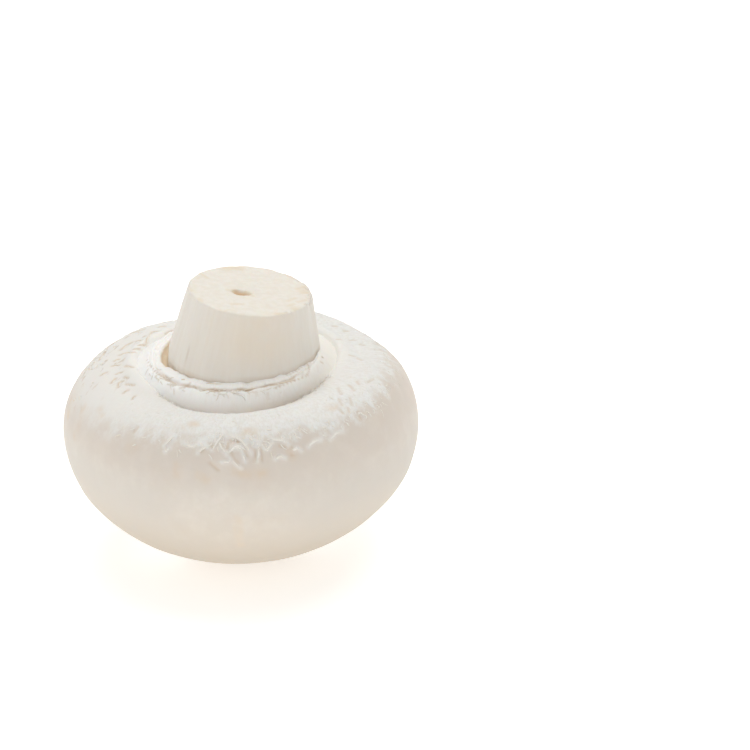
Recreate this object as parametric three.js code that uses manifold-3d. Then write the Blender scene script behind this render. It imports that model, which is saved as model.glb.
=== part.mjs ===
// A white button mushroom with its veil still closed, lying on the crown of its cap with the cut stem up.
// Millimetres, +Z up. The origin is on the spot that the crown rests on, under the middle of the cap.
// Someone who looks along +Y has +X on the right, and sees the gap between stem and veil on the left.
//
// It grew as one body, so it is one solid. The cap, the veil's collar and the stem are turned profiles.
// Each is bent out of true by a formula of its own, and the tufts and scales of the skin are fused on.
import * as THREE from 'three';
import { mergeVertices } from 'three/addons/utils/BufferGeometryUtils.js';
import Module from 'manifold-3d';

const { smoothstep, lerp, degToRad } = THREE.MathUtils;

const CAP = {
  radius: 23.85,
  widestHeight: 16.6,
  restRadius: 5,
  crownFullness: 1.93, // 2 is an ellipse, and more is squarer
  crownShift: -0.4, // the crown sits a little to the left of the stem
  shelfRadius: 16.6, // where the rolled-in margin stands highest
  shelfHeight: 26.3,
  shoulderFullness: 2.2,
  shoulderSlope: 0.05, // the right shoulder stands higher than the left
  dips: [ // but the shoulder sinks a little in two places at the back
    { direction: degToRad(112), halfAngle: degToRad(26), depth: 0.5 },
    { direction: degToRad(27), halfAngle: degToRad(50), depth: 0.7 },
  ],
  lumps: 0.12,
  lipRadius: 13.4, // the woolly edge of the margin, against the veil
  lipHeight: 25.2,
  marginRound: 0.12, // how far the shelf has dipped halfway to the lip
  lipRagged: 0.12,
  wellRadius: 12.8,
  wellHeight: 24.3, // the floor under the collar and beside the stem
  sides: 80,
};

// The crease between margin and veil isn't round: it bulges in three places, and is highest on the right
const CREASE = { bulges: 3, bulge: 0.5, bulgeDirection: degToRad(-90), slope: 0.02, shift: -0.35 };

const VEIL = {
  footRadius: 13.4,
  footHeight: 25.1,
  rimRadius: 11.9,
  rimHeight: 27.55,
  rimShift: -0.3,
  rimSlope: 0.055,
  rimRagged: 0.13,
  tearRadius: 11.6, // the torn groove between the skirt and the strip left round the stem
  tearHeight: 27.2,
  healed: 0.6, // how much of the groove's depth is gone beside the gap
  stripRadius: 11.3,
  stripHeight: 27.9,
  stripEdge: 0.1, // how far the strip's outer edge is rounded down, and then its inner one
  innerEdge: 0.25,
  grownRadius: 9.7, // the inner edge, where it still holds to the stem
  gapRadius: 10.7, // and where it has come away
  gapDirection: degToRad(172),
  gapHalfAngle: degToRad(62),
  pleats: 26,
  pleatDepth: 0.06,
  rootDepth: 0.9, // how far the collar reaches under the well's floor
  sides: 104,
};

const STEM = {
  rootHeight: 20, // hidden in the cap's flesh
  baseHeight: 27.7,
  baseRadius: 10.2,
  baseShift: 0.45,
  cutHeight: 36.65,
  cutRadius: 8.2,
  cutShift: 1.48,
  cutSlopeX: -0.095,
  cutSlopeY: -0.005,
  cutEdge: 0.25, // the skin turns in a little at the knife's edge
  flutes: 15,
  fluteDepth: 0.06,
  lumps: 0.12,
  sides: 60,
};

// The split heart of the stem, a slit in the cut
const SLIT = { halfLength: 1.6, halfWidth: 0.6, depth: 1.5, x: 0.3, y: -1.05, turn: degToRad(-8) };

// Tufts of skin fibres and flat scales: where they grow, by direction from the axis and by how far round
// the shoulder (0 is the widest ring and 90 the top of the shelf), and their lengths and half widths
const TUFTS = [
  { count: 24, from: -130, to: -60, low: 36, high: 62, length: [2, 3.4], width: 0.45, spread: 55 },
  { count: 14, from: -60, to: 8, low: 44, high: 76, length: [1.6, 2.6], width: 0.42, spread: 40 },
  { count: 6, from: -175, to: -132, low: 44, high: 64, length: [1.4, 2.4], width: 0.42, spread: 40 },
];
const SCALES = [
  { count: 18, from: 120, to: 205, low: 42, high: 84, length: [1.4, 2.4], width: 0.6, spread: 30 },
  { count: 7, from: 20, to: 110, low: 42, high: 80, length: [1.2, 2], width: 0.55, spread: 30 },
];
const FIBRE = { sides: 4, steps: 2, thickness: 0.34, rootDepth: 0.3, proud: 0.02, tipDepth: 0.08 };

const MERGE_DISTANCE = 1e-4;
const SEED = 11;

const wasm = await Module();
wasm.setup();

function randomSource(seed) {
  let state = seed;
  return () => {
    state = (state * 1664525 + 1013904223) % 4294967296;
    return state / 4294967296;
  };
}
const random = randomSource(SEED);
const between = (low, high) => lerp(low, high, random());

// A slow unevenness round the axis, from -1 to 1.
function waver(angle, phase) {
  const slow = Math.sin(2 * angle + phase);
  const middling = Math.sin(3 * angle + 2.3 * phase);
  const quick = Math.sin(5 * angle + 4.1 * phase);
  return (slow + 0.7 * middling + 0.5 * quick) / 2.2;
}

// A ragged edge round the axis, from -1 to 1.
function ragged(angle, phase) {
  const coarse = Math.sin(13 * angle + phase);
  const medium = Math.sin(23 * angle + 3 * phase);
  const fine = Math.sin(37 * angle + 5 * phase);
  return (coarse + medium + fine) / 3;
}

// 1 in the middle of a sector and 0 outside it.
function sector(angle, middle, halfAngle) {
  const away = Math.abs(Math.atan2(Math.sin(angle - middle), Math.cos(angle - middle)));
  return 1 - smoothstep(away, 0, halfAngle);
}

// How far the crease bulges out from its mean circle.
function creaseBulge(angle) {
  return CREASE.bulge * Math.cos(CREASE.bulges * (angle - CREASE.bulgeDirection));
}

// A solid from a closed geometry.
function solidOf(geometry) {
  geometry.deleteAttribute('normal');
  geometry.deleteAttribute('uv');
  const shell = mergeVertices(geometry, MERGE_DISTANCE);
  return new wasm.Manifold(new wasm.Mesh({
    numProp: 3,
    vertProperties: shell.attributes.position.array,
    triVerts: new Uint32Array(shell.index.array),
  }));
}

// Moves every vertex of a geometry by a function that changes a point in place.
function reshape(geometry, move) {
  const place = geometry.attributes.position;
  const point = new THREE.Vector3();
  for (let i = 0; i < place.count; i++) {
    move(point.fromBufferAttribute(place, i));
    place.setXYZ(i, point.x, point.y, point.z);
  }
  return geometry;
}

// Turns a profile of (radius, height) points about the Z axis, then bends it as it grew.
function turned(profile, sides, grow) {
  const geometry = new THREE.LatheGeometry(profile, sides).rotateX(Math.PI / 2);
  return solidOf(reshape(geometry, grow));
}

// The crown and flank of the cap: part of a superellipse, from the rest spot's edge to the widest ring.
function crownProfile(steps) {
  const power = 2 / CAP.crownFullness;
  const restTurn = Math.acos((CAP.restRadius / CAP.radius) ** (1 / power));
  const depth = Math.sin(restTurn) ** power;
  const points = [];
  for (let step = 0; step < steps; step++) {
    const turn = lerp(restTurn, 0, step / steps);
    const height = CAP.widestHeight * (1 - Math.sin(turn) ** power / depth);
    points.push(new THREE.Vector2(CAP.radius * Math.cos(turn) ** power, height));
  }
  return points;
}

// A point of the shoulder, from the widest ring at turn 0 to the top of the shelf at 90 degrees.
function shoulderPoint(turn) {
  const power = 2 / CAP.shoulderFullness;
  return new THREE.Vector2(
    lerp(CAP.shelfRadius, CAP.radius, Math.abs(Math.cos(turn)) ** power),
    lerp(CAP.widestHeight, CAP.shelfHeight, Math.sin(turn) ** power),
  );
}

function capProfile() {
  const crownSteps = 11;
  const shoulderSteps = 11;
  const shoulder = Array.from({ length: shoulderSteps + 1 }, (_, step) => (
    shoulderPoint(Math.PI / 2 * step / shoulderSteps)
  ));
  return [
    new THREE.Vector2(0, 0),
    ...crownProfile(crownSteps),
    ...shoulder,
    new THREE.Vector2(lerp(CAP.shelfRadius, CAP.lipRadius, 0.55), CAP.shelfHeight - CAP.marginRound),
    new THREE.Vector2(CAP.lipRadius, CAP.lipHeight),
    new THREE.Vector2(CAP.wellRadius, CAP.wellHeight),
    new THREE.Vector2(0, CAP.wellHeight),
  ];
}

// The cap's right shoulder is raised, with two shallow dips. Its crown is off centre, and it is slightly
// lumpy.
function growCap(point) {
  const angle = Math.atan2(point.y, point.x);
  const radial = Math.hypot(point.x, point.y);
  const height = point.z;
  const onFlank = smoothstep(height, 0, CAP.widestHeight * 0.6);
  const onShelf = smoothstep(radial, CAP.lipRadius, CAP.shelfRadius);
  const onLip = smoothstep(height, CAP.widestHeight, CAP.lipHeight) * (1 - onShelf);
  const lump = CAP.lumps * waver(angle, 1.3) * onFlank * onShelf;
  const edge = (CAP.lipRagged * ragged(angle, 2) + creaseBulge(angle)) * onLip;
  const scale = radial > 1 ? 1 + (lump + edge) / radial : 1;
  const shoulder = smoothstep(height, CAP.widestHeight, CAP.shelfHeight) * onShelf;
  point.z += CAP.shoulderSlope * point.x * shoulder;
  for (const dip of CAP.dips) point.z -= dip.depth * sector(angle, dip.direction, dip.halfAngle) * shoulder;
  point.z += CREASE.slope * point.x * onLip;
  point.x = point.x * scale + CAP.crownShift * (1 - smoothstep(height, 0, CAP.widestHeight));
  point.x += CREASE.shift * onLip;
  point.y *= scale;
}

// The collar's section: up the skirt, over the torn rim and the strip round the stem, and down inside.
function veilProfile() {
  const rootHeight = CAP.wellHeight - VEIL.rootDepth;
  return [
    [VEIL.footRadius, rootHeight],
    [VEIL.footRadius, VEIL.footHeight],
    [lerp(VEIL.footRadius, VEIL.rimRadius, 0.4), lerp(VEIL.footHeight, VEIL.rimHeight, 0.5)],
    [lerp(VEIL.footRadius, VEIL.rimRadius, 0.8), lerp(VEIL.footHeight, VEIL.rimHeight, 0.9)],
    [VEIL.rimRadius, VEIL.rimHeight],
    [VEIL.tearRadius, VEIL.tearHeight],
    [VEIL.stripRadius, VEIL.stripHeight - VEIL.stripEdge],
    [lerp(VEIL.stripRadius, VEIL.gapRadius, 0.6), VEIL.stripHeight],
    [VEIL.gapRadius, VEIL.stripHeight - VEIL.innerEdge],
    [VEIL.gapRadius, rootHeight],
    [VEIL.footRadius, rootHeight],
  ].map(([radius, height]) => new THREE.Vector2(radius, height));
}

// The collar is pleated down its skirt, ragged at its rim, and has come away from the stem on one side.
function growVeil(point) {
  const angle = Math.atan2(point.y, point.x);
  const radial = Math.hypot(point.x, point.y);
  const raised = smoothstep(point.z, VEIL.footHeight, VEIL.rimHeight);
  const outside = smoothstep(radial, VEIL.stripRadius, VEIL.rimRadius);
  const inside = 1 - smoothstep(radial, VEIL.gapRadius, VEIL.stripRadius);
  const holding = 1 - sector(angle, VEIL.gapDirection, VEIL.gapHalfAngle);
  const torn = 1 - smoothstep(Math.abs(radial - VEIL.tearRadius), 0, 0.3);
  const pleat = VEIL.pleatDepth * Math.cos(VEIL.pleats * angle) * outside;
  const grip = (VEIL.grownRadius - VEIL.gapRadius) * smoothstep(holding, 0.2, 0.8) * inside;
  const tatters = VEIL.rimRagged * ragged(angle, 0.7) * raised * outside;
  const bulge = creaseBulge(angle) * (1 - raised) * outside;
  const scale = 1 + (pleat + grip + tatters + bulge) / radial;
  const healed = (VEIL.stripHeight - VEIL.tearHeight) * VEIL.healed * torn * (1 - holding);
  point.z += (VEIL.rimSlope * point.x + VEIL.rimRagged * ragged(angle, 4) + healed) * raised;
  point.z += CREASE.slope * point.x * (1 - raised);
  point.x = point.x * scale + CREASE.shift * (1 - raised) + VEIL.rimShift * raised * outside;
  point.y *= scale;
}

function stemProfile() {
  const sideSteps = 4;
  const side = Array.from({ length: sideSteps + 1 }, (_, step) => new THREE.Vector2(
    lerp(STEM.baseRadius, STEM.cutRadius, step / sideSteps),
    lerp(STEM.baseHeight, STEM.cutHeight - STEM.cutEdge, step / sideSteps),
  ));
  return [
    new THREE.Vector2(0, STEM.rootHeight),
    new THREE.Vector2(STEM.baseRadius, STEM.rootHeight),
    ...side,
    new THREE.Vector2(STEM.cutRadius - STEM.cutEdge, STEM.cutHeight),
    new THREE.Vector2(0, STEM.cutHeight),
  ];
}

// The stem leans, is faintly fluted, and is cut across at a slant.
function growStem(point) {
  const angle = Math.atan2(point.y, point.x);
  const up = (point.z - STEM.baseHeight) / (STEM.cutHeight - STEM.baseHeight);
  const flute = STEM.fluteDepth * Math.cos(STEM.flutes * angle) + STEM.lumps * waver(angle, 3.1);
  const radial = Math.hypot(point.x, point.y);
  const scale = radial > 1 ? 1 + flute / radial : 1;
  point.z += (STEM.cutSlopeX * point.x + STEM.cutSlopeY * point.y) * smoothstep(up, 0, 1);
  point.x = point.x * scale + lerp(STEM.baseShift, STEM.cutShift, Math.max(up, 0));
  point.y *= scale;
}

// A lens-shaped cutter for the slit in the cut, which is widest where it opens.
function slitCutter() {
  const above = 1;
  const floorScale = 0.3;
  const topScale = 1 + (1 - floorScale) * above / SLIT.depth;
  const geometry = new THREE.CylinderGeometry(topScale, floorScale, SLIT.depth + above, 16, 1);
  geometry.rotateX(Math.PI / 2);
  geometry.scale(SLIT.halfLength, SLIT.halfWidth, 1);
  geometry.rotateZ(SLIT.turn);
  geometry.translate(SLIT.x, SLIT.y, STEM.cutHeight + (above - SLIT.depth) / 2);
  return solidOf(geometry);
}

// A point of the grown cap's shoulder.
function skinPoint(angle, turn) {
  const { x: radius, y: height } = shoulderPoint(turn);
  const point = new THREE.Vector3(radius * Math.cos(angle), radius * Math.sin(angle), height);
  growCap(point);
  return point;
}

// The way up and the way out of the skin there.
function skinFrame(angle, turn) {
  const small = 0.01;
  const at = skinPoint(angle, turn);
  const up = skinPoint(angle, turn + small).sub(at).normalize();
  const round = skinPoint(angle + small, turn).sub(at).normalize();
  return { at, up, round, out: round.clone().cross(up).normalize() };
}

// One tapered fibre or scale, grown down the shoulder with its root and its tip sunk in the skin.
function fibre({ angle, turn, length, width, slant }) {
  const root = skinFrame(angle, turn);
  const along = root.up.clone().multiplyScalar(-Math.cos(slant)).addScaledVector(root.round, Math.sin(slant));
  const anglePerMm = along.dot(root.round) / CAP.radius;
  const turnPerMm = along.dot(root.up) / (CAP.shelfHeight - CAP.widestHeight);
  const geometry = new THREE.CylinderGeometry(0.45, 0.9, 1, FIBRE.sides, FIBRE.steps);
  reshape(geometry, (point) => {
    const far = point.y + 0.5;
    const here = skinFrame(angle + far * length * anglePerMm, turn + far * length * turnPerMm);
    const side = along.clone().cross(here.out).normalize();
    const endDepth = far < 0.5 ? FIBRE.rootDepth : FIBRE.tipDepth;
    const sunk = lerp(-FIBRE.proud, endDepth, Math.abs(2 * far - 1));
    const { x: across, z: through } = point;
    point.copy(here.at)
      .addScaledVector(here.out, through * FIBRE.thickness - sunk)
      .addScaledVector(side, across * width);
  });
  return solidOf(geometry);
}

function patchOfFibres({ count, from, to, low, high, length, width, spread }) {
  return Array.from({ length: count }, (_, index) => fibre({
    angle: degToRad(lerp(from, to, (index + random()) / count)),
    turn: degToRad(between(low, high)),
    length: between(...length),
    width: width * between(0.8, 1.2),
    slant: degToRad(between(-spread, spread)),
  }));
}

function mushroom() {
  const stem = turned(stemProfile(), STEM.sides, growStem).subtract(slitCutter());
  const parts = [
    turned(veilProfile(), VEIL.sides, growVeil),
    stem,
    ...[...TUFTS, ...SCALES].flatMap(patchOfFibres),
  ];
  return parts.reduce((whole, part) => whole.add(part), turned(capProfile(), CAP.sides, growCap));
}

function meshOf(solid, name, material) {
  const { vertProperties, triVerts } = solid.getMesh();
  const geometry = new THREE.BufferGeometry();
  geometry.setAttribute('position', new THREE.BufferAttribute(vertProperties, 3));
  geometry.setIndex(new THREE.BufferAttribute(triVerts, 1));
  geometry.computeVertexNormals();
  const mesh = new THREE.Mesh(geometry, material);
  mesh.name = name;
  return mesh;
}

const flesh = new THREE.MeshStandardMaterial({ color: 0xe9e1d5, roughness: 0.75, metalness: 0 });

const group = new THREE.Group();
group.add(meshOf(mushroom(), 'button_mushroom', flesh));

export default group;
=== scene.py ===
# %% [markdown]
# # A white button mushroom, upside down on its cap
# This lesson models one fresh mushroom the way it grew: a fleshy cap whose margin rolls in, a closed
# veil that still joins the margin to the stem, and a stem that a knife has cut across at a slant.
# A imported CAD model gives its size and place. It is one solid with rather large facets, so every
# visible surface is modelled again here, finer, from the same driving dimensions.
# Lengths are in millimetres until they are handed to Blender, which works in metres.

# %% Load the frame and keep its size
import math
import random

import bpy
import numpy as np
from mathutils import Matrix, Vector, noise
from mathutils.bvhtree import BVHTree


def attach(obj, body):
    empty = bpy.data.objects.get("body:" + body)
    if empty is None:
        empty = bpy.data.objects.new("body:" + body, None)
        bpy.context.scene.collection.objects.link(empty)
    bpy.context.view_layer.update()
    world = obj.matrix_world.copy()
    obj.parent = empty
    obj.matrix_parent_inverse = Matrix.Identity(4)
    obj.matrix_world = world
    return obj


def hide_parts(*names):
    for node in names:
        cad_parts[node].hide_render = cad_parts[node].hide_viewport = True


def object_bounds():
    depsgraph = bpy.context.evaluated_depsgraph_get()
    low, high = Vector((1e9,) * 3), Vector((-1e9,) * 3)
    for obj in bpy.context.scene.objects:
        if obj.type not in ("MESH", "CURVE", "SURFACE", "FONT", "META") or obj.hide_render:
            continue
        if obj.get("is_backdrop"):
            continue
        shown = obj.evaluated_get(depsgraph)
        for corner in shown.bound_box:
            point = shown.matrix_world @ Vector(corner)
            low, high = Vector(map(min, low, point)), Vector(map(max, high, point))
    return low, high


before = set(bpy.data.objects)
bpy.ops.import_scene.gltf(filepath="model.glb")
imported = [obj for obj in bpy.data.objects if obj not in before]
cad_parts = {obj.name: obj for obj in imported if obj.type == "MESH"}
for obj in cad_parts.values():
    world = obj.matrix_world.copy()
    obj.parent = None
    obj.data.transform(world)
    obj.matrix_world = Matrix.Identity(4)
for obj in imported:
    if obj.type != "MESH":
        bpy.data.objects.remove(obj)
cad_low, cad_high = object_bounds()
MM = 0.001
print("the solid is", [round(size / MM, 1) for size in cad_high - cad_low], "mm across")

# %% [markdown]
# ## The camera
# The photograph looks down on the mushroom by about 25 degrees. The rings of the cut and of the veil
# are ellipses in it, and their flatness gives that angle. A long lens keeps the sides nearly parallel.
# The mushroom stands left of the middle of the picture, so the camera looks at a point to its right.

# %% Look from the photograph's place
CAMERA_ELEVATION = math.radians(25.5)
CAMERA_DISTANCE = 450
LOOK_AT = Vector((18.0, 9.41, 19.73))
SENSOR_WIDTH = 36
PICTURE_WIDTH = 750
FOCAL_PIXELS = 3285
CLIP_NEAR, CLIP_FAR = 0.05, 20

bpy.ops.object.select_all(action="DESELECT")
toward_viewer = Vector((0, -math.cos(CAMERA_ELEVATION), math.sin(CAMERA_ELEVATION)))
bpy.ops.object.camera_add(location=(LOOK_AT + toward_viewer * CAMERA_DISTANCE) * MM)
camera = bpy.context.object
camera.name = "photograph_view"
camera.rotation_mode = "QUATERNION"
camera.rotation_quaternion = (-toward_viewer).to_track_quat("-Z", "Y")
camera.data.sensor_width = SENSOR_WIDTH
camera.data.lens = SENSOR_WIDTH * FOCAL_PIXELS / PICTURE_WIDTH
camera.data.clip_start, camera.data.clip_end = CLIP_NEAR, CLIP_FAR
bpy.context.scene.camera = camera
print("lens", round(camera.data.lens, 1), "mm")

# %% [markdown]
# ## Light
# The photograph was taken in a white light tent on a lit white table. Light comes softly from above, a
# little more from the left, and up from the table, so the steep front of the cap, just under its
# shoulder, is the darkest part, and there is hardly any shadow on the table. A lamp overhead, one at the
# left, a weak one at the right, one low in front, a pale sky and a floor that glows a little do the same.

# %% Light the scene softly from all round
WARM_WHITE = (1, 0.995, 0.985)
SKY_STRENGTH = 0.48


def add_lamp(name, location, size, watts):
    """A square lamp that faces the mushroom."""
    bpy.ops.object.select_all(action="DESELECT")
    bpy.ops.object.light_add(type="AREA", location=location)
    lamp = bpy.context.object
    lamp.name = name
    lamp.data.size = size
    lamp.data.energy = watts
    lamp.data.color = WARM_WHITE
    middle = (cad_low + cad_high) / 2
    lamp.rotation_mode = "QUATERNION"
    lamp.rotation_quaternion = (middle - Vector(location)).to_track_quat("-Z", "Y")


add_lamp("tent_top", (0.1, 0.35, 0.85), size=1.0, watts=5.4)
add_lamp("tent_left", (-0.8, 0.1, 0.4), size=0.8, watts=0.85)
add_lamp("tent_right", (0.85, 0.1, 0.45), size=0.8, watts=0.2)
add_lamp("tent_front", (-0.2, -0.88, 0.3), size=0.8, watts=1.35)

world = bpy.data.worlds.new("tent")
bpy.context.scene.world = world
world.use_nodes = True
sky = world.node_tree.nodes["Background"]
sky.inputs["Color"].default_value = (*WARM_WHITE, 1)
sky.inputs["Strength"].default_value = SKY_STRENGTH
bpy.context.scene.view_settings.view_transform = "Standard"

# %% [markdown]
# ## Building materials from nodes
# A material is a small graph. These helpers add a node with its settings and join it to what feeds it,
# so that each recipe below reads as a list of steps.


# %% Material helpers
def new_material(name):
    """A material with a Principled shader, its node tree and that shader."""
    material = bpy.data.materials.new(name)
    material.use_nodes = True
    return material, material.node_tree, material.node_tree.nodes["Principled BSDF"]


def feed(tree, socket, value):
    """Joins a socket to another node's, or gives it a value."""
    if isinstance(value, bpy.types.NodeSocket):
        tree.links.new(value, socket)
    else:
        socket.default_value = value


def add_node(tree, kind, sockets, **settings):
    """Adds a node, sets its properties and feeds its sockets, which are named or numbered."""
    node = tree.nodes.new(kind)
    for name, value in settings.items():
        setattr(node, name, value)
    for name, value in sockets.items():
        feed(tree, node.inputs[name], value)
    return node


def read_number(tree, name):
    return add_node(tree, "ShaderNodeAttribute", {}, attribute_name=name).outputs["Fac"]


def read_vector(tree, name):
    return add_node(tree, "ShaderNodeAttribute", {}, attribute_name=name).outputs["Vector"]


def object_place(tree, scale=(1, 1, 1)):
    """The place on the piece, with the pattern stretched along an axis where scale is small."""
    place = tree.nodes.new("ShaderNodeTexCoord").outputs["Object"]
    sockets = {"Vector": place, "Scale": scale}
    return add_node(tree, "ShaderNodeMapping", sockets).outputs["Vector"]


def speckle(tree, where, scale, detail=3.0, roughness=0.55):
    """Noise between about 0.3 and 0.7."""
    sockets = {"Vector": where, "Scale": scale, "Detail": detail, "Roughness": roughness}
    return add_node(tree, "ShaderNodeTexNoise", sockets).outputs["Fac"]


def ramp(tree, value, low, high, bottom=0.0, top=1.0):
    """A value taken smoothly from one range to another."""
    sockets = {"Value": value, "From Min": low, "From Max": high, "To Min": bottom, "To Max": top}
    kind = "ShaderNodeMapRange"
    return add_node(tree, kind, sockets, interpolation_type="SMOOTHSTEP").outputs["Result"]


def arithmetic(tree, operation, first, second):
    return add_node(tree, "ShaderNodeMath", {0: first, 1: second}, operation=operation).outputs[0]


def times(tree, first, second):
    return arithmetic(tree, "MULTIPLY", first, second)


def kept(tree, name, weight):
    """A number that the vertices keep, times a weight."""
    return times(tree, read_number(tree, name), weight)


def tint(tree, share, below, above):
    """Lays a second colour over a first by a share."""
    mix = add_node(tree, "ShaderNodeMixRGB", {"Fac": share})
    for socket, colour in ((mix.inputs["Color1"], below), (mix.inputs["Color2"], above)):
        feed(tree, socket, colour if isinstance(colour, bpy.types.NodeSocket) else (*colour, 1))
    return mix.outputs["Color"]


def bump(tree, height, distance, strength, under=None):
    """Fine relief, of a depth in millimetres, over any relief under it."""
    sockets = {"Height": height, "Distance": distance * MM, "Strength": strength}
    node = add_node(tree, "ShaderNodeBump", sockets)
    if under is not None:
        tree.links.new(under, node.inputs["Normal"])
    return node.outputs["Normal"]


# %% [markdown]
# ## What mushroom flesh does with light
# Flesh is full of air and water. Light sinks in by a millimetre or so and comes out again, which softens
# every shadow and warms it a little. That is subsurface scattering, and every finish here shares it.
# The skin is matt, with only a faint sheen where it is smooth.

# %% Flesh colours and scattering
WOOL_WHITE = (0.845, 0.84, 0.81)
FLANK_CREAM = (0.73, 0.672, 0.60)
BLUSH = (0.70, 0.60, 0.50)
SCAR_TAN = (0.58, 0.43, 0.30)
CUT_CREAM = (0.86, 0.82, 0.745)
STEM_CREAM = (0.80, 0.765, 0.705)
SCATTER, SCATTER_REACH, SCATTER_WARMTH = 0.18, 1.0, (1, 0.62, 0.38)
FLESH_SHEEN = 0.3


def set_flesh(shader, roughness):
    """Light that sinks in, and a matt surface."""
    shader.inputs["Subsurface Weight"].default_value = SCATTER
    shader.inputs["Subsurface Radius"].default_value = SCATTER_WARMTH
    shader.inputs["Subsurface Scale"].default_value = SCATTER_REACH * MM
    shader.inputs["Roughness"].default_value = roughness
    shader.inputs["Specular IOR Level"].default_value = FLESH_SHEEN


# %% [markdown]
# ## The floor
# A plain white table that glows a little, so it bounces light up under the cap. It isn't part of the
# mushroom, so it is declared as stage.

# %% Lay the floor
FLOOR_SIZE, FLOOR_WHITE, FLOOR_ROUGHNESS, FLOOR_GLOW = 6, (0.93, 0.93, 0.925), 0.9, 0.42

bpy.ops.object.select_all(action="DESELECT")
bpy.ops.mesh.primitive_plane_add(size=FLOOR_SIZE)
floor = bpy.context.object
floor.name = "table_top"
paint, tree, shader = new_material("white_table")
shader.inputs["Base Color"].default_value = (*FLOOR_WHITE, 1)
shader.inputs["Roughness"].default_value = FLOOR_ROUGHNESS
shader.inputs["Emission Color"].default_value = (*WARM_WHITE, 1)
shader.inputs["Emission Strength"].default_value = FLOOR_GLOW
floor.data.materials.append(paint)
floor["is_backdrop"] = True

# %% [markdown]
# ## How a lathe makes a grown thing
# The cap, the veil's collar and the stem are all nearly round, so each starts as a chain of points that
# is spun about the upright axis. The chain is extruded point by point from a single vertex. Subdivision
# then rounds it, and a growing function of its own pushes its vertices out of true.

# %% Spin a profile and round it off
SUBDIVISIONS = 2


def spin_profile(name, profile, steps):
    """Spins a chain of (radius, height) points about the upright axis, and subdivides the result."""
    bpy.ops.object.select_all(action="DESELECT")
    bpy.ops.mesh.primitive_plane_add(size=MM)
    piece = bpy.context.object
    piece.name = name
    bpy.ops.object.mode_set(mode="EDIT")
    bpy.ops.mesh.merge(type="CENTER")
    radius, height = profile[0]
    bpy.ops.transform.translate(value=(radius * MM, 0, height * MM))
    for next_radius, next_height in profile[1:]:
        move = ((next_radius - radius) * MM, 0, (next_height - height) * MM)
        bpy.ops.mesh.extrude_region_move(TRANSFORM_OT_translate={"value": move})
        radius, height = next_radius, next_height
    bpy.ops.mesh.select_all(action="SELECT")
    bpy.ops.mesh.spin(steps=steps, angle=2 * math.pi, center=(0, 0, 0), axis=(0, 0, 1))
    bpy.ops.mesh.select_all(action="SELECT")
    bpy.ops.mesh.remove_doubles(threshold=0.002 * MM)
    bpy.ops.mesh.normals_make_consistent(inside=False)
    bpy.ops.object.mode_set(mode="OBJECT")
    rounding = piece.modifiers.new("rounding", "SUBSURF")
    rounding.levels = rounding.render_levels = SUBDIVISIONS
    bpy.ops.object.modifier_apply(modifier=rounding.name)
    bpy.ops.object.shade_smooth()
    return piece


# %% Read and move vertices, in millimetres
def read_points(piece):
    numbers = np.empty(3 * len(piece.data.vertices))
    piece.data.vertices.foreach_get("co", numbers)
    return numbers.reshape(-1, 3) / MM


def place_points(piece, points):
    piece.data.vertices.foreach_set("co", np.ravel(points) * MM)
    piece.data.update()


def raise_skin(piece, heights):
    """Moves each vertex out along its normal."""
    numbers = np.empty(3 * len(piece.data.vertices))
    piece.data.vertex_normals.foreach_get("vector", numbers)
    place_points(piece, read_points(piece) + numbers.reshape(-1, 3) * heights[:, None])


def keep_number(piece, name, values):
    """Stores a number on each vertex, for a material to read."""
    layer = piece.data.attributes.new(name, "FLOAT", "POINT")
    layer.data.foreach_set("value", np.ravel(values))


def keep_numbers(piece, **numbers):
    for name, values in numbers.items():
        keep_number(piece, name, values)


def keep_vector(piece, name, values):
    layer = piece.data.attributes.new(name, "FLOAT_VECTOR", "POINT")
    layer.data.foreach_set("vector", np.ravel(values))


# %% Curves and noise that the growing functions share
def smooth(value, low, high):
    """0 below low, 1 above high, and an even curve between."""
    share = np.clip((value - low) / (high - low), 0, 1)
    return share * share * (3 - 2 * share)


def blend(first, second, share):
    return first + (second - first) * share


def waver(angle, phase):
    """A slow unevenness round the axis, from -1 to 1."""
    slow = np.sin(2 * angle + phase)
    middling = np.sin(3 * angle + 2.3 * phase)
    quick = np.sin(5 * angle + 4.1 * phase)
    return (slow + 0.7 * middling + 0.5 * quick) / 2.2


def ragged(angle, phase):
    """A ragged edge round the axis, from -1 to 1."""
    coarse = np.sin(13 * angle + phase)
    medium = np.sin(23 * angle + 3 * phase)
    fine = np.sin(37 * angle + 5 * phase)
    return (coarse + medium + fine) / 3


def sector(angle, middle, half_angle):
    """1 in the middle of a sector and 0 outside it."""
    away = np.abs(np.arctan2(np.sin(angle - middle), np.cos(angle - middle)))
    return 1 - smooth(away, 0, half_angle)


def toward(direction, half_angle, amount=1):
    """A direction and a half angle, given in degrees, and the amount of something there."""
    return math.radians(direction), math.radians(half_angle), amount


def local(angle, place):
    """The amount at an angle: full in its own direction, and nothing at the half angle from it."""
    direction, half_angle, amount = place
    return amount * sector(angle, direction, half_angle)


def rough(places, size, seed):
    """Noise from -1 to 1 at each place, with lumps of about the given size."""
    shifted = places / size + 17.3 * seed
    return np.array([noise.noise(place) for place in shifted.tolist()])


def polar(points):
    return np.arctan2(points[:, 1], points[:, 0]), np.hypot(points[:, 0], points[:, 1])


def unrolled(angle, girth, along=0.0):
    """A place on a round skin that has no seam: a ring of the given girth radius, and the way along."""
    return np.column_stack([np.cos(angle) * girth, np.sin(angle) * girth, along + 0 * angle])


# %% [markdown]
# ## The cap
# Upside down, the crown is at the bottom. The flank swells to its widest ring, and the shoulder rolls in
# to a flat shelf, the margin, which ends in a woolly lip against the veil. Both round parts are quarters
# of superellipses, which are a little squarer or rounder than an ellipse.

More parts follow.
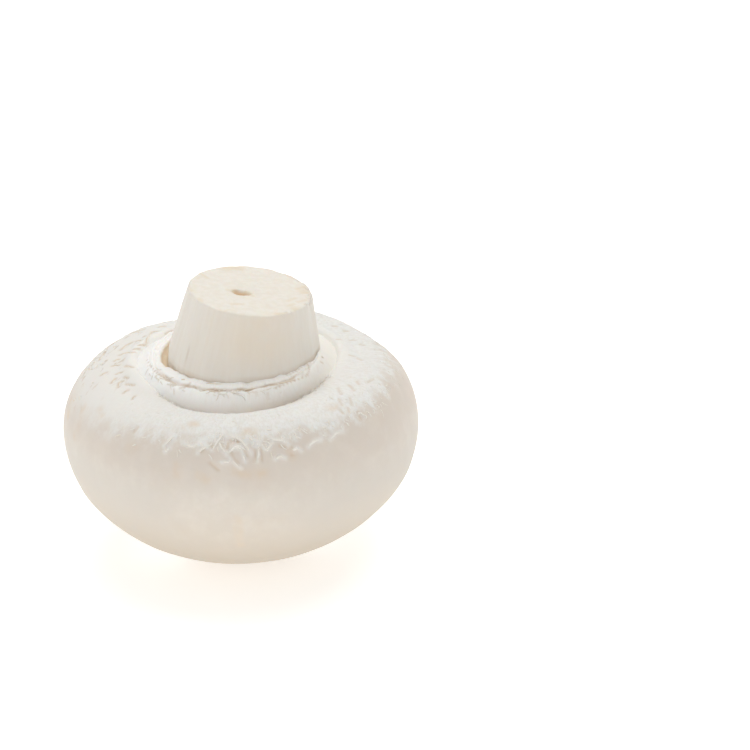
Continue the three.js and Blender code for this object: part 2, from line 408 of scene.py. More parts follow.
# %% The cap's profile
CAP_RADIUS, WIDEST_HEIGHT = 23.85, 16.6
REST_RADIUS = 5
CROWN_FULLNESS, SHOULDER_FULLNESS = 1.93, 2.2
SHELF_RADIUS, SHELF_HEIGHT = 16.6, 26.3
LIP_RADIUS, LIP_HEIGHT = 13.4, 25.2
WELL_RADIUS, WELL_HEIGHT = 12.8, 24.3
MARGIN_ROUND = 0.12
CAP_STEPS = 128


def crown_profile(steps):
    power = 2 / CROWN_FULLNESS
    rest_turn = math.acos((REST_RADIUS / CAP_RADIUS) ** (1 / power))
    depth = math.sin(rest_turn) ** power
    for step in range(steps):
        turn = rest_turn * (1 - step / steps)
        height = WIDEST_HEIGHT * (1 - math.sin(turn) ** power / depth)
        yield CAP_RADIUS * math.cos(turn) ** power, height


def shoulder_point(turn):
    """From the widest ring at turn 0 to the top of the shelf at a quarter turn."""
    power = 2 / SHOULDER_FULLNESS
    radius = blend(SHELF_RADIUS, CAP_RADIUS, abs(math.cos(turn)) ** power)
    return radius, blend(WIDEST_HEIGHT, SHELF_HEIGHT, math.sin(turn) ** power)


def cap_profile():
    crown_steps, shoulder_steps = 11, 16
    yield 0, 0
    yield REST_RADIUS / 2, 0
    yield from crown_profile(crown_steps)
    for step in range(shoulder_steps + 1):
        yield shoulder_point(math.pi / 2 * step / shoulder_steps)
    yield blend(SHELF_RADIUS, LIP_RADIUS, 0.3), SHELF_HEIGHT - MARGIN_ROUND / 3
    yield blend(SHELF_RADIUS, LIP_RADIUS, 0.6), SHELF_HEIGHT - MARGIN_ROUND
    yield blend(SHELF_RADIUS, LIP_RADIUS, 0.85), blend(SHELF_HEIGHT, LIP_HEIGHT, 0.5)
    yield LIP_RADIUS, LIP_HEIGHT
    yield WELL_RADIUS, WELL_HEIGHT
    yield WELL_RADIUS / 2, WELL_HEIGHT
    yield 0, WELL_HEIGHT


# %% [markdown]
# The cap didn't grow true. Its right shoulder stands higher but sinks in two places at the back, its crown
# lies a little to the left, and the crease between the margin and the veil bulges in three places. The
# crease is deepest at the front, and shallow where the veil and the margin have grown into one roll. There
# the margin swells up towards the veil in a fillet, so that no hard line parts them.

# %% Grow the cap out of true
CROWN_SHIFT = -0.4
SHOULDER_SLOPE = 0.05
LUMPS = 0.12
LIP_RAGGED = 0.12
CREASE_BULGES, CREASE_BULGE, BULGE_DIRECTION = 3, 0.5, math.radians(-90)
CREASE_SLOPE, CREASE_SHIFT = 0.02, -0.35
DIPS = [toward(112, 26, 0.9), toward(27, 50, 1.3)]
LEFT_ROLL, RIGHT_ROLL, FRONT_DEEP = toward(178, 72, 0.15), toward(40, 104, 0.3), toward(-95, 70, 0.65)
LEFT_WIDER = toward(178, 50, 0.3)
FILLET_REACH, FILLET_HEIGHT = 2.8, 1.0


def crease_bulge(angle):
    return CREASE_BULGE * np.cos(CREASE_BULGES * (angle - BULGE_DIRECTION)) + local(angle, LEFT_WIDER)


def crease_rise(angle):
    return local(angle, LEFT_ROLL) + local(angle, RIGHT_ROLL) - local(angle, FRONT_DEEP)


def grown_together(angle):
    """1 where the veil and the margin are one roll, and 0 where a clear crease parts them."""
    rolls = [sector(angle, direction, half_angle) for direction, half_angle, _ in (LEFT_ROLL, RIGHT_ROLL)]
    return smooth(sum(rolls), 0, 0.6)


def grow_cap(points):
    angle, radial = polar(points)
    x, y, height = points.T
    on_flank = smooth(height, 0, WIDEST_HEIGHT * 0.6)
    on_shelf = smooth(radial, LIP_RADIUS, SHELF_RADIUS)
    on_lip = smooth(height, WIDEST_HEIGHT, LIP_HEIGHT) * (1 - on_shelf)
    lump = LUMPS * waver(angle, 1.3) * on_flank * on_shelf
    edge = (LIP_RAGGED * ragged(angle, 2) + crease_bulge(angle)) * on_lip
    scale = np.where(radial > 1, 1 + (lump + edge) / np.maximum(radial, 1), 1)
    shoulder = smooth(height, WIDEST_HEIGHT, SHELF_HEIGHT) * on_shelf
    raised = SHOULDER_SLOPE * x * shoulder + CREASE_SLOPE * x * on_lip + crease_rise(angle) * on_lip
    fillet = np.clip(1 - (radial - LIP_RADIUS) / FILLET_REACH, 0, 1) ** 2
    raised += FILLET_HEIGHT * fillet * grown_together(angle)
    dip = sum(local(angle, place) for place in DIPS) * shoulder
    grown_x = x * scale + CROWN_SHIFT * (1 - smooth(height, 0, WIDEST_HEIGHT)) + CREASE_SHIFT * on_lip
    return np.column_stack([grown_x, y * scale, height + raised - dip])


# %% [markdown]
# The skin differs from place to place. The flank is smooth, with shallow dents. From half way up the
# shoulder a mat of woolly fibres covers the margin: thick and ragged at the front and right, worn thin
# and smooth on the left, where the skin has cracked into small scales instead. Each vertex stores
# what the finish needs: how woolly, worn and scaly its place is, where the mat thins out, how near the
# veil it lies, which the finish uses for a painted shade by the lip, and where painted shade darkens the
# flank's sides.

# %% Turn the cap's skin into flank, wool and scales
MAT_EDGE, MAT_FADE = math.radians(56), math.radians(18)
HIGH_EDGE, LOW_EDGE = toward(5, 50, math.radians(7)), toward(-160, 60, math.radians(-15))
MAT_THICKNESS, WOOL_DEPTH, DENT_DEPTH, FLAKE_DEPTH = 0.1, 0.04, 0.09, 0.07
WOOL_SIZES, CLUMP_SIZE, DENT_SIZES, FLAKE_SIZE = (1.3, 0.7), 3.2, (7, 3.5), 1.5
WORN_SIDE, SCALY_SIDE = toward(175, 95), toward(158, 62)
# The sides where painted shade darkens the lower flank, and the heights it fades between.
DULL_SIDES, DULL_HEIGHTS = [toward(-138, 45), toward(-34, 60)], (21, 15)
LIP_BAND = 2.4


def shoulder_turn(radial, height):
    """How far round the shoulder a point of the true profile is: 0 on the flank, a quarter on the shelf."""
    across = np.clip((radial - SHELF_RADIUS) / (CAP_RADIUS - SHELF_RADIUS), 0, 1)
    upward = np.clip((height - WIDEST_HEIGHT) / (SHELF_HEIGHT - WIDEST_HEIGHT), 0, 1)
    power = SHOULDER_FULLNESS / 2
    return np.arctan2(upward**power, across**power)


def mat_edge(angle):
    """Where the woolly mat ends, which wanders up and down the shoulder."""
    wander = math.radians(4) * waver(angle, 0.4) + math.radians(3) * ragged(angle, 5)
    return MAT_EDGE + wander + local(angle, HIGH_EDGE) + local(angle, LOW_EDGE)


def meridian(radial, height, profile):
    """The distance along the profile to the point of it that is nearest to each vertex."""
    chain = np.array(profile, float)
    lengths = np.concatenate([[0], np.cumsum(np.hypot(*np.diff(chain, axis=0).T))])
    best, along = np.full(len(radial), np.inf), np.zeros(len(radial))
    for start, end, length in zip(chain, chain[1:], lengths):
        step = end - start
        away = np.column_stack([radial, height]) - start
        share = np.clip(away @ step / max(step @ step, 1e-9), 0, 1)
        gap = np.hypot(*(away - share[:, None] * step).T)
        nearer = gap < best
        best[nearer] = gap[nearer]
        along[nearer] = length + share[nearer] * math.hypot(*step)
    return along


def model_cap():
    profile = list(cap_profile())
    cap = spin_profile("cap", profile, CAP_STEPS)
    true = read_points(cap)
    angle, radial = polar(true)
    height = true[:, 2]
    along = meridian(radial, height, profile)
    turn = shoulder_turn(radial, height)
    worn = local(angle, WORN_SIDE)
    fade = MAT_FADE * (1 + worn + 0.5 * sector(angle, *HIGH_EDGE[:2]))
    woolly = smooth(turn, mat_edge(angle) - fade, mat_edge(angle) + fade)
    thick = smooth(woolly, 0.2, 0.9)
    scaly = local(angle, SCALY_SIDE) * smooth(turn, 0.45, 0.75)
    scaly = scaly * smooth(radial, LIP_RADIUS + 1.2, LIP_RADIUS + 2.6)

    place_points(cap, grow_cap(true))
    down_the_skin = unrolled(angle, CAP_RADIUS, along * 0.6)
    wool = rough(down_the_skin, WOOL_SIZES[0], 1) + rough(down_the_skin, WOOL_SIZES[1], 2)
    clumps = rough(unrolled(angle, CAP_RADIUS, along), CLUMP_SIZE, 3)
    dents = rough(true, DENT_SIZES[0], 4) + 0.5 * rough(true, DENT_SIZES[1], 5)
    flakes = rough(true, FLAKE_SIZE, 6)
    relief = thick * (1 - worn) * (MAT_THICKNESS * (0.7 + 0.6 * clumps) + WOOL_DEPTH * wool)
    relief += (1 - thick * (1 - worn)) * DENT_DEPTH * dents * smooth(height, 1, 6)
    relief += scaly * FLAKE_DEPTH * flakes
    in_sight = np.maximum(smooth(radial, LIP_RADIUS - 0.3, LIP_RADIUS + 0.6), height < WIDEST_HEIGHT)
    raise_skin(cap, relief * in_sight)

    keep_numbers(cap, woolly=woolly, worn=worn, scaly=scaly, turn=turn)
    # Near the lip of the open crease the finish paints a shade, towards a pinkish grey.
    near_lip, joined = 1 - smooth(radial, LIP_RADIUS, LIP_RADIUS + LIP_BAND), grown_together(angle)
    keep_numbers(cap, near_lip=near_lip * (1 - joined), joined=near_lip * joined)
    # Painted shade: both sides of the lower flank are darkened.
    sides = sum(local(angle, place) for place in DULL_SIDES)
    dull = smooth(height, *DULL_HEIGHTS) * smooth(sides, 0, 0.7)
    keep_numbers(cap, fading=4 * woolly * (1 - woolly) * (1 - worn), dull=dull)
    keep_vector(cap, "skin_way", unrolled(angle, CAP_RADIUS, along * 0.8))
    return cap


cap = model_cap()
print("cap:", len(cap.data.polygons), "faces")

# %% [markdown]
# ## Drawing on the photograph
# Some marks of this mushroom are its own: a dent, a crease or a fibre at one exact place. Those are drawn
# as short lines in the photograph's pixels. A ray from the camera through each pixel meets the skin, so
# a line becomes a path of points on the surface, wherever one looks at it from.

# %% Find the skin under a line of pixels
PATH_STEPS = 8
EYE = LOOK_AT + toward_viewer * CAMERA_DISTANCE
RIGHTWARDS = Vector((1, 0, 0))
UPWARDS = Vector((0, math.sin(CAMERA_ELEVATION), math.cos(CAMERA_ELEVATION)))


def skin_of(piece):
    faces = [face.vertices[:] for face in piece.data.polygons]
    return BVHTree.FromPolygons(read_points(piece).tolist(), faces)


def drawn(skin, corners):
    """Points on the skin, and the way out of it, under a line through some pixels."""
    corners = np.array(corners, float)
    lengths = np.concatenate([[0], np.cumsum(np.hypot(*np.diff(corners, axis=0).T))])
    marks = np.linspace(0, lengths[-1], PATH_STEPS + 1)
    columns, rows = (np.interp(marks, lengths, values) for values in corners.T)
    for line in (columns, rows):
        line[1:-1] = (line[:-2] + 2 * line[1:-1] + line[2:]) / 4
    path = []
    for column, row in zip(columns - PICTURE_WIDTH / 2, rows - PICTURE_WIDTH / 2):
        ray = RIGHTWARDS * column - UPWARDS * row - toward_viewer * FOCAL_PIXELS
        place, out, _, _ = skin.ray_cast(EYE, ray.normalized())
        if place is not None:
            path.append((place, out))
    return path


def nearness(points, path, reach):
    """1 on a path, and 0 further from it than its reach."""
    best = np.full(len(points), np.inf)
    for place, _ in path:
        best = np.minimum(best, np.linalg.norm(points - np.array(place), axis=1))
    return 1 - smooth(best, 0, reach)


# %% [markdown]
# The creases are short. The first ones are the scales' edges on the left, which slant much the same way,
# and the others are a few folds in the wool. They are pressed into the mesh and remembered in an
# attribute, so that the finish can tan them: the scales' edges are tan, and in the folds the tan is
# painted shade. Soft stains are remembered in another; the ones among the front tufts are painted
# shadows in the hollows of the curls. At the front the mat ends in tufts that curl off the skin. Their
# thick parts are soft ridges of the skin itself.

# %% Press the creases, raise the tufts and remember the stains
CREASES = [
    [(120, 350), (127, 345), (132, 342)], [(129, 334), (136, 332), (144, 329)], [(158, 327), (165, 326)],
    [(152, 332), (159, 331)], [(166, 334), (172, 331)], [(146, 344), (147, 338), (151, 333)],
    [(138, 345), (146, 345)], [(133, 349), (140, 349)], [(119, 355), (126, 353), (135, 352)],
    [(99, 360), (105, 352)], [(114, 361), (119, 359)], [(112, 366), (119, 365)], [(125, 366), (133, 367)],
    [(116, 374), (122, 372)], [(111, 383), (116, 378)], [(118, 387), (119, 383), (123, 381)],
    [(123, 393), (128, 390)], [(132, 399), (135, 396)], [(124, 377), (128, 378)], [(126, 384), (134, 385)],
    [(101, 375), (107, 372)], [(136, 341), (142, 340)],
    [(338, 388), (341, 394)], [(339, 399), (342, 405)], [(349, 385), (354, 390)], [(348, 408), (349, 412)],
    [(358, 412), (361, 418)], [(350, 398), (352, 405)], [(357, 381), (359, 384)], [(368, 382), (373, 379)],
    [(340, 410), (343, 413)], [(333, 326), (337, 326)], [(344, 331), (348, 331)], [(350, 340), (355, 340)],
    [(337, 339), (341, 339)], [(357, 358), (362, 360)], [(350, 355), (354, 356)], [(360, 344), (364, 345)],
    [(134, 432), (138, 427)], [(227, 448), (229, 442), (234, 440), (239, 442)], [(219, 440), (222, 447)],
    [(231, 452), (234, 459), (238, 463)], [(212, 447), (217, 444)], [(256, 450), (255, 461)],
    [(261, 448), (262, 460)], [(244, 449), (247, 455)], [(291, 447), (292, 455)], [(201, 452), (204, 450)],
    [(210, 463), (218, 470)], [(280, 446), (285, 447)],
]
# Soft stains on the flank, and painted shadows in the hollows among the front tufts.
STAINS = [
    [(83, 409), (79, 424), (75, 436)], [(100, 408), (101, 415)], [(70, 402), (68, 416)],
    [(178, 466), (177, 474)], [(192, 424), (195, 424)], [(177, 428), (181, 430)], [(88, 500), (96, 512)],
    [(237, 520), (240, 545)], [(330, 408), (335, 406)], [(229, 445), (232, 441), (237, 442)],
    [(236, 473), (245, 474), (253, 474)], [(259, 474), (264, 473)], [(200, 476), (206, 479)],
    [(254, 432), (256, 437)], [(243, 431), (250, 431)], [(291, 449), (292, 456)], [(128, 449), (134, 448)],
]
SCALE_CREASES, FOLD_STRENGTH = 22, 0.8
CREASE_REACH, CREASE_DEPTH, STAIN_REACH = 0.38, 0.13, 1.1
TUFTS = [
    [(227, 437), (233, 436), (240, 439), (246, 446), (252, 454)], [(224, 434), (218, 441), (212, 450)],
    [(218, 440), (221, 447), (226, 454)], [(227, 455), (232, 449), (238, 445), (244, 448), (247, 453)],
    [(233, 449), (238, 447), (243, 451)], [(222, 462), (229, 462), (231, 458)],
    [(231, 459), (236, 464), (241, 468)], [(258, 447), (259, 454), (257, 461)],
    [(262, 448), (267, 451), (270, 446), (273, 441)], [(268, 436), (273, 440), (283, 440), (289, 446)],
    [(198, 453), (203, 448), (208, 447)], [(200, 443), (204, 447)], [(275, 459), (280, 456), (285, 458)],
    [(292, 451), (297, 448), (301, 451)], [(164, 446), (169, 441), (174, 436)], [(165, 452), (170, 448)],
    [(185, 444), (192, 447), (198, 445)], [(243, 454), (245, 461)],
    [(308, 447), (314, 441), (321, 440)], [(330, 440), (336, 433), (342, 432)], [(248, 437), (254, 441)],
]
TUFT_REACH, TUFT_HEIGHT = 0.55, 0.14


def mark_cap():
    skin = skin_of(cap)
    points = read_points(cap)
    creased, stained, tufted = np.zeros((3, len(points)))
    for number, corners in enumerate(CREASES):
        strength = 1 if number < SCALE_CREASES else FOLD_STRENGTH
        creased = np.maximum(creased, strength * nearness(points, drawn(skin, corners), CREASE_REACH))
    for corners in STAINS:
        stained = np.maximum(stained, nearness(points, drawn(skin, corners), STAIN_REACH))
    for corners in TUFTS:
        tufted = np.maximum(tufted, nearness(points, drawn(skin, corners), TUFT_REACH))
    raise_skin(cap, TUFT_HEIGHT * tufted - CREASE_DEPTH * creased)
    keep_numbers(cap, creased=creased, tufted=tufted, stained=stained)


mark_cap()
print(len(CREASES), "creases,", len(STAINS), "stains and", len(TUFTS), "tufts")

# %% [markdown]
# ## The veil
# The partial veil is a thin skirt that still closes the gap between margin and stem. It has a torn rim,
# a groove where it tore and a strip that stayed round the stem. On the left it has come away from the
# stem and left a narrow gap, whose walls are painted tan, partly the flesh's own colour and partly painted
# shade. On the right it clings to the stem, and its tear has healed.

# %% The veil's profile
FOOT_RADIUS, FOOT_HEIGHT = 13.4, 25.1
RIM_RADIUS, RIM_HEIGHT, RIM_SHIFT, RIM_SLOPE, RIM_RAGGED = 11.9, 27.55, -0.3, 0.055, 0.13
TEAR_RADIUS, TEAR_HEIGHT, HEALED = 11.6, 27.2, 0.85
STRIP_RADIUS, STRIP_HEIGHT, STRIP_EDGE = 11.3, 27.9, 0.1
GROWN_RADIUS, GAP_RADIUS, INNER_EDGE = 9.7, 10.5, 0.25
GAP_FLOOR_RADIUS, GAP_FLOOR_HEIGHT = 9.1, 26.6
FOOT_OVERLAP, CLIMB, CLINGING_CLIMB = 0.5, 0.15, 0.8
# The last of these is the left side that the finish paints whiter, a painted light.
GAP_SIDE, CLINGING_SIDE, LOOSE_SIDE = toward(172, 62), toward(10, 80), toward(-155, 90)
TEAR_OPEN = toward(-100, 75)
PLEATS, PLEAT_DEPTH = 26, 0.03
CLINGING = 1.0
VEIL_ROOT = WELL_HEIGHT - 0.9
VEIL_STEPS = 128


def veil_profile():
    for share, height_share in ((0, 0), (0.2, 0.34), (0.42, 0.64), (0.7, 0.88), (0.9, 0.98), (1, 1)):
        yield blend(FOOT_RADIUS, RIM_RADIUS, share), blend(FOOT_HEIGHT, RIM_HEIGHT, height_share)
    yield blend(RIM_RADIUS, TEAR_RADIUS, 0.5), RIM_HEIGHT - 0.05
    yield TEAR_RADIUS, TEAR_HEIGHT
    yield STRIP_RADIUS, STRIP_HEIGHT - STRIP_EDGE
    yield blend(STRIP_RADIUS, GAP_RADIUS, 0.6), STRIP_HEIGHT
    yield GAP_RADIUS, STRIP_HEIGHT - INNER_EDGE
    yield GAP_RADIUS - 0.05, blend(GAP_FLOOR_HEIGHT, STRIP_HEIGHT, 0.6)
    yield blend(GAP_FLOOR_RADIUS, GAP_RADIUS, 0.7), blend(GAP_FLOOR_HEIGHT, STRIP_HEIGHT, 0.2)
    yield GAP_FLOOR_RADIUS, GAP_FLOOR_HEIGHT
    yield GAP_FLOOR_RADIUS, VEIL_ROOT
    yield FOOT_RADIUS, VEIL_ROOT
    yield FOOT_RADIUS, FOOT_HEIGHT


# %% Grow and tear the veil
def torn_share(angle):
    """1 where the tear is open, at the front, and 0 where it has healed, on the left, right and back."""
    return local(angle, TEAR_OPEN)


def grow_veil(points):
    angle, radial = polar(points)
    x, y, height = points.T
    raised = smooth(height, FOOT_HEIGHT, RIM_HEIGHT)
    outside = smooth(radial, STRIP_RADIUS, RIM_RADIUS)
    inside = 1 - smooth(radial, GAP_RADIUS, STRIP_RADIUS)
    holding = 1 - local(angle, GAP_SIDE)
    groove = 1 - smooth(np.abs(radial - TEAR_RADIUS), 0, 0.3)
    pleat = PLEAT_DEPTH * np.cos(PLEATS * angle) * outside * (1 - grown_together(angle))
    grip = (GROWN_RADIUS - GAP_RADIUS) * smooth(holding, 0.2, 0.8) * inside
    tatters = RIM_RAGGED * ragged(angle, 0.7) * raised * outside
    bulge = crease_bulge(angle) * (1 - raised) * outside
    clinging = local(angle, CLINGING_SIDE)
    cling = CLINGING * clinging * raised * smooth(radial, GROWN_RADIUS, STRIP_RADIUS)
    overlap = FOOT_OVERLAP * grown_together(angle) * (1 - raised) ** 2 * outside
    climb = (CLIMB + CLINGING_CLIMB * clinging) * smooth(holding, 0.2, 0.8) * inside * raised
    scale = 1 + (pleat + grip + tatters + bulge + overlap - cling) / radial
    healed = (STRIP_HEIGHT - TEAR_HEIGHT) * HEALED * groove * (1 - smooth(torn_share(angle), 0, 0.5))
    lifted = (RIM_SLOPE * x + RIM_RAGGED * ragged(angle, 4) + healed) * raised
    grown_z = height + lifted + climb + (CREASE_SLOPE * x + crease_rise(angle)) * (1 - raised)
    grown_x = x * scale + CREASE_SHIFT * (1 - raised) + RIM_SHIFT * raised * outside
    return np.column_stack([grown_x, y * scale, grown_z])


# %% [markdown]
# Where the tear has healed, at the right, thin tan lines and one raised piece of the strip still show. Some
# of the lines are painted shade instead: dots along the crease at the right and the line where the veil
# meets the stem. Each has its own place, so they too are drawn on the photograph, once the veil has its
# shape.

# %% Score the lines of the tear and of the painted shade, and model the veil
VEIL_LINES = [
    [(287, 375), (296, 371), (303, 365), (309, 361)], [(276, 388), (290, 382), (299, 379), (306, 376)],
    [(306, 376), (309, 372), (309, 366), (306, 363)], [(302, 399), (304, 399)], [(309, 396), (314, 392)],
    [(316, 390), (321, 386)], [(324, 383), (327, 380)], [(331, 376), (334, 373)], [(336, 370), (337, 369)],
    [(322, 357), (323, 357)], [(321, 362), (323, 363)], [(147, 360), (152, 368), (161, 376)],
    [(169, 381), (175, 385)], [(180, 388), (188, 386), (190, 383)],
]
STRIP_PIECE = [(278, 383), (288, 378), (298, 374), (306, 368)]
LINE_REACH, LINE_DEPTH, STRIP_REACH, STRIP_RAISE = 0.32, 0.05, 0.55, 0.1
FINE_PLEAT_DEPTH, FOLD_DEPTH, TATTER_DEPTH = 0.025, 0.05, 0.07


def mark_veil(veil):
    """Presses the thin lines into the veil, and raises the piece of strip at the right."""
    skin, points = skin_of(veil), read_points(veil)
    scored = np.zeros(len(points))
    for corners in VEIL_LINES:
        scored = np.maximum(scored, nearness(points, drawn(skin, corners), LINE_REACH))
    strip = nearness(points, drawn(skin, STRIP_PIECE), STRIP_REACH)
    raise_skin(veil, STRIP_RAISE * strip - LINE_DEPTH * scored)
    keep_number(veil, "scored", scored)


def model_veil():
    profile = list(veil_profile())
    veil = spin_profile("veil", profile, VEIL_STEPS)
    true = read_points(veil)
    angle, radial = polar(true)
    height = true[:, 2]
    along = meridian(radial, height, profile)
    place_points(veil, grow_veil(true))
    upper = smooth(height, RIM_HEIGHT - 0.8, RIM_HEIGHT)
    skirt = smooth(radial, RIM_RADIUS - 0.6, RIM_RADIUS)
    pleats = rough(unrolled(angle, RIM_RADIUS, along * 0.15), 0.8, 7)
    creases = rough(unrolled(angle, RIM_RADIUS, along * 0.5), 1.6, 8)
    clinging = local(angle, CLINGING_SIDE)
    tatters = TATTER_DEPTH * upper * rough(true, 0.8, 9) * (1 - 0.8 * smooth(clinging, 0, 0.5))
    raise_skin(veil, FINE_PLEAT_DEPTH * pleats * skirt + FOLD_DEPTH * creases + tatters)
    mark_veil(veil)

    in_groove = 1 - smooth(np.abs(radial - TEAR_RADIUS), 0.08, 0.4)
    broken = 0.4 + 0.6 * smooth(rough(unrolled(angle, RIM_RADIUS), 2.4, 10), -0.3, 0.2)
    inner = 1 - smooth(radial, GAP_RADIUS, GAP_RADIUS + 0.35)
    torn = in_groove * upper * broken * smooth(torn_share(angle), 0.05, 0.4)
    raised = smooth(height, FOOT_HEIGHT, RIM_HEIGHT)
    # Painted shade on the skirt's foot near the margin, weaker where veil and margin are one roll.
    foot = (1 - smooth(raised, 0.1, 0.8)) * (1 - 0.85 * grown_together(angle))
    # hollow darkens the gap's walls and floor: partly the flesh's own tan, partly painted shade.
    keep_numbers(veil, torn=torn, hollow=inner * smooth(STRIP_HEIGHT - height, -0.1, 0.6), foot=foot)
    # The left side, kept as loose, is where the finish paints a painted light.
    keep_numbers(veil, raised=raised, clinging=clinging, loose=local(angle, LOOSE_SIDE))
    keep_vector(veil, "skin_way", unrolled(angle, RIM_RADIUS, along * 0.25))
    return veil


veil = model_veil()
print("veil:", len(veil.data.polygons), "faces")

# %% [markdown]
# ## The stem
# The stem tapers towards the cut, leans to the right and is cut across at a slant. Long fibres run up
# its skin. In the middle of the cut its heart has split open in a short slit, and a knife's nick shows
# low on its left side. A few short strokes, where the blade bruised the cut, are drawn on the photograph.

# %% The stem's profile
STEM_ROOT, STEM_BASE, CUT_HEIGHT = 22, 27.7, 36.65
BASE_RADIUS, CUT_RADIUS = 10.2, 8.2
BASE_SHIFT, CUT_SHIFT = 0.45, 1.48
CUT_SLOPE_X, CUT_SLOPE_Y = -0.095, -0.005
CUT_EDGE = 0.35
FLUTES, FLUTE_DEPTH, STEM_LUMPS = 15, 0.06, 0.12
STEM_STEPS = 112


def stem_profile():
    side_steps = 6
    yield 0, STEM_ROOT
    yield BASE_RADIUS, STEM_ROOT
    for step in range(side_steps + 1):
        share = step / side_steps
        yield blend(BASE_RADIUS, CUT_RADIUS, share), blend(STEM_BASE, CUT_HEIGHT - CUT_EDGE, share)
    yield CUT_RADIUS - CUT_EDGE * 0.3, CUT_HEIGHT - CUT_EDGE * 0.3
    yield CUT_RADIUS - CUT_EDGE, CUT_HEIGHT
    for radius in (7.2, 6, 5, 4.2, 3.5, 2.8, 2.1, 1.4, 0.7, 0):
        yield radius, CUT_HEIGHT


# %% Grow the stem, nick it and split its heart
SLIT_HALF_LENGTH, SLIT_HALF_WIDTH, SLIT_DEPTH = 1.5, 0.75, 0.8
SLIT_X, SLIT_Y, SLIT_TURN = 0.3, -1.05, math.radians(-12)
CUT_MARKS = [
    [(228, 290), (236, 291)], [(246, 292), (253, 296)], [(288, 301), (295, 298)], [(296, 289), (304, 287)],
    [(298, 302), (306, 300)], [(308, 298), (313, 299)], [(276, 314), (286, 313)], [(289, 306), (294, 304)],
    [(283, 273), (294, 279)], [(199, 273), (203, 275), (208, 278)], [(236, 269), (242, 270)],
    [(232, 304), (243, 304)], [(188, 287), (191, 291)], [(199, 299), (202, 301)], [(302, 293), (307, 293)],
]
MARK_REACH = 0.5
STRAND_RELIEF, RIDGE_RELIEF, CUT_RELIEF, NICK_DEPTH = 0.03, 0.06, 0.05, 0.1
TANNED = toward(-82, 62)
NICK_DIRECTION, NICK_HEIGHT, NICK_HALF_WIDTH, NICK_HALF_HEIGHT = math.radians(-140), 30.0, 0.25, 1.7


def grow_stem(points):
    angle, radial = polar(points)
    x, y, height = points.T
    up = (height - STEM_BASE) / (CUT_HEIGHT - STEM_BASE)
    flute = FLUTE_DEPTH * np.cos(FLUTES * angle) + STEM_LUMPS * waver(angle, 3.1)
    scale = np.where(radial > 1, 1 + flute / np.maximum(radial, 1), 1)
    grown_z = height + (CUT_SLOPE_X * x + CUT_SLOPE_Y * y) * smooth(up, 0, 1)
    grown_x = x * scale + blend(BASE_SHIFT, CUT_SHIFT, np.maximum(up, 0))
    return np.column_stack([grown_x, y * scale, grown_z])


def slit_share(points):
    """How far out a point of the cut is from the slit's middle: 1 is on its edge."""
    x, y = points[:, 0] - SLIT_X, points[:, 1] - SLIT_Y
    lengthwise = x * math.cos(SLIT_TURN) + y * math.sin(SLIT_TURN)
    across = y * math.cos(SLIT_TURN) - x * math.sin(SLIT_TURN)
    return np.hypot(lengthwise / SLIT_HALF_LENGTH, across / SLIT_HALF_WIDTH)


def model_stem():
    profile = list(stem_profile())
    stem = spin_profile("stem", profile, STEM_STEPS)
    true = read_points(stem)
    angle, radial = polar(true)
    height = true[:, 2]
    along = meridian(radial, height, profile)
    place_points(stem, grow_stem(true))
    on_cut = smooth(height, CUT_HEIGHT - 0.2, CUT_HEIGHT)
    strands = rough(unrolled(angle, CUT_RADIUS, along * 0.06), 0.75, 11)
    ridges = rough(unrolled(angle, CUT_RADIUS, along * 0.1), 1.8, 12)
    ripples = rough(true, 1.6, 13) + 0.6 * rough(true, 0.7, 14)
    beside = (angle - NICK_DIRECTION) * CUT_RADIUS / NICK_HALF_WIDTH
    nick = (1 - smooth(np.hypot(beside, (height - NICK_HEIGHT) / NICK_HALF_HEIGHT), 0.2, 1)) * (1 - on_cut)
    relief = (1 - on_cut) * (STRAND_RELIEF * strands + RIDGE_RELIEF * ridges) + on_cut * CUT_RELIEF * ripples
    raise_skin(stem, relief - NICK_DEPTH * nick)

    points = read_points(stem)
    slit = (1 - smooth(slit_share(points) + 0.25 * rough(true, 0.9, 15), 0.45, 1.1)) * on_cut
    points[:, 2] -= SLIT_DEPTH * slit
    place_points(stem, points)
    above_strip = points[:, 2] - STRIP_HEIGHT - CLIMB - RIM_SLOPE * points[:, 0]
    # Where the veil touches the stem the finish paints a thin tan line, partly painted contact shade.
    contact = (1 - smooth(above_strip, 0.05, 0.45)) * (1 - local(angle, GAP_SIDE))
    skin, scored = skin_of(stem), np.zeros(len(points))
    for corners in CUT_MARKS:
        scored = np.maximum(scored, nearness(points, drawn(skin, corners), MARK_REACH))
    up = (height - STEM_BASE) / (CUT_HEIGHT - STEM_BASE)
    tanned = local(angle, TANNED) * smooth(up, 0, 0.65) * smooth(up, 1.1, 0.9)
    keep_numbers(stem, contact=contact, scored=scored, cut=on_cut, slit=slit, nick=nick)
    keep_numbers(stem, tanned=tanned, radial=radial)
    keep_vector(stem, "skin_way", unrolled(angle, CUT_RADIUS, along * 0.1))
    return stem


stem = model_stem()
print("stem:", len(stem.data.polygons), "faces")

# %% [markdown]
# ## The cap's finish
# One material covers the whole skin. The woolly mat is a bright, cool white. The smooth flank below it
# is creamier, darkest just under the shoulder, with faint pinkish tan blotches, and darkened with painted
# shade at both sides. Towards the crown it gets tanner and darker, partly its own tan and partly painted
# shade. The scales' edges are tan, and the folds in the wool get the same tan as painted shade. The lip of
# the open crease beside the veil is darkened with painted shade, and some stains round the front tufts are
# painted shadows. Where the two have grown together, the skin is as white as the veil. The relief
# underneath is fine: cottony on the wool, and a tight leathery grain on the flank.

